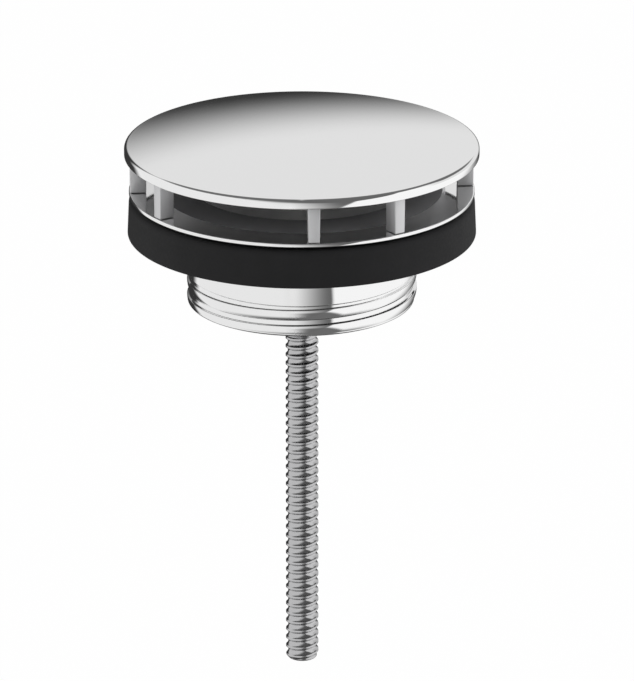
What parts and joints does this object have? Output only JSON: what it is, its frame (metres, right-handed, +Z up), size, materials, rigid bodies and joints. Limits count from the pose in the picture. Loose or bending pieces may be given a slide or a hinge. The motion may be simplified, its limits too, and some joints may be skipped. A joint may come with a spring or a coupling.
{
  "type": "pop-up basin waste",
  "caption": "Pop-up basin waste: domed strainer cover on legs and a long threaded stem, thin flange with a threaded spigot, thick rubber seal, and an inner plug guided by a hub.",
  "frame": {"origin": "centre of the seal ring's underside, the plane that sits on the basin", "axes": "+Z up the axis towards the domed cap; X and Y through the wide gaps between the leg pairs"},
  "size_m": [0.0642, 0.0642, 0.1022],
  "materials": {
    "cap_chrome": "mirror-polished chrome plate",
    "cage_satin": "satin chrome plate on cast metal",
    "body_steel": "polished drawn steel",
    "seal_rubber": "matt black moulded rubber",
    "guide_plastic": "matt black moulded acetal",
    "bush_plastic": "natural white acetal",
    "stem_steel": "satin rolled steel thread",
    "fastener_steel": "bright zinc-plated steel",
    "insert_brass": "turned brass",
    "plug_rubber": "matt black rubber"
  },
  "bodies": {
    "waste": {"flange_body": "body_steel", "seal_ring": "seal_rubber", "stem_guide": "guide_plastic"},
    "bush": {"guide_bush": "bush_plastic", "bush_clip": "fastener_steel"},
    "cover": {"cover_cap": "cap_chrome", "strainer_cage": "cage_satin", "stem_insert": "insert_brass", "stem": "stem_steel", "stem_lock_nut": "fastener_steel", "plug_washer": "fastener_steel", "plug_plate": "body_steel", "plug_seal": "plug_rubber", "plug_backing_washer": "fastener_steel", "plug_nut": "fastener_steel"}
  },
  "joints": [
    {"name": "cover_turn", "type": "hinge", "parent": "waste", "child": "bush", "pos_m": [0, 0, 0], "axis": [0, 0, 1], "continuous": true},
    {"name": "cover_lift", "type": "slide", "parent": "bush", "child": "cover", "axis": [0, 0, 1], "range_m": [0, 0.0095]}
  ]
}
